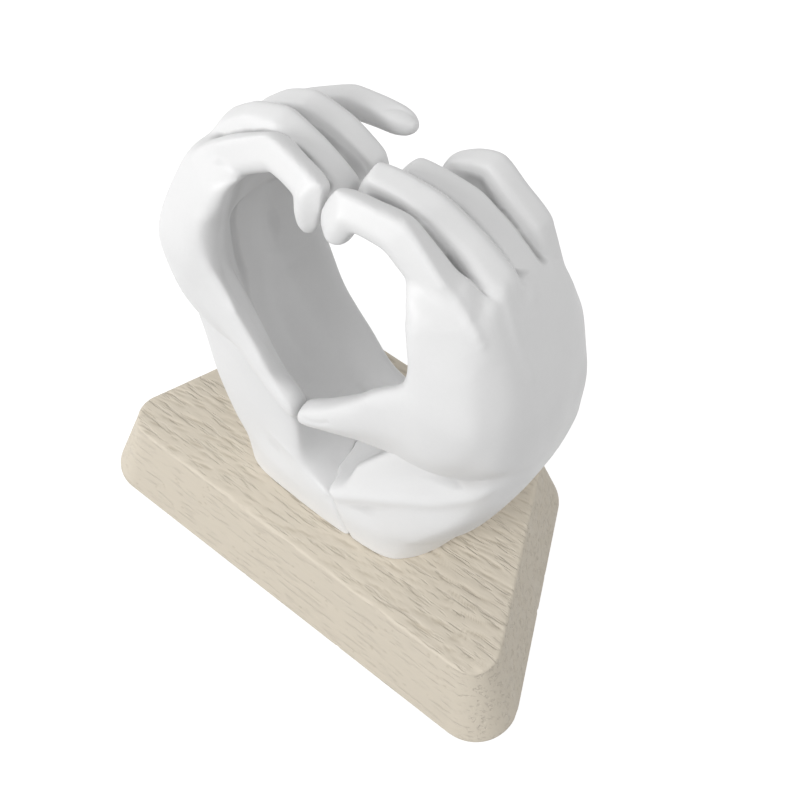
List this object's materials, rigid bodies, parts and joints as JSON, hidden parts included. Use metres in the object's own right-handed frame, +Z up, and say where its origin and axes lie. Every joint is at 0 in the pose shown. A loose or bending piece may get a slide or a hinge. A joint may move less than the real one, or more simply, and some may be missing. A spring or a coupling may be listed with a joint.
{
  "type": "heart hands sculpture",
  "caption": "Table ornament: a pair of hands rises from a flared plinth and bends its fingers and thumbs together into an open heart.",
  "frame": {"origin": "middle of the underside of the non-slip sheet, on the surface that the ornament stands on", "axes": "+X runs along the plinth from the left hand to the right hand, +Y runs from the wide front edge to the narrow back edge, +Z is up"},
  "size_m": [0.1654, 0.0924, 0.1679],
  "materials": {
    "hand_resin": "smooth satin white cast resin",
    "plinth_resin": "matte cream cast resin with a carved wood texture",
    "insert_brass": "plain turned brass",
    "fixing_steel": "zinc-plated steel",
    "dowel_steel": "ground steel",
    "sheet_foam": "matte non-slip foam sheet"
  },
  "bodies": {
    "root": {"left_hand": "hand_resin", "right_hand": "hand_resin", "plinth": "plinth_resin", "left_threaded_insert": "insert_brass", "right_threaded_insert": "insert_brass", "left_fixing_screw": "fixing_steel", "right_fixing_screw": "fixing_steel", "left_washer": "fixing_steel", "right_washer": "fixing_steel", "left_locating_dowel": "dowel_steel", "right_locating_dowel": "dowel_steel", "base_sheet": "sheet_foam"}
  },
  "joints": []
}
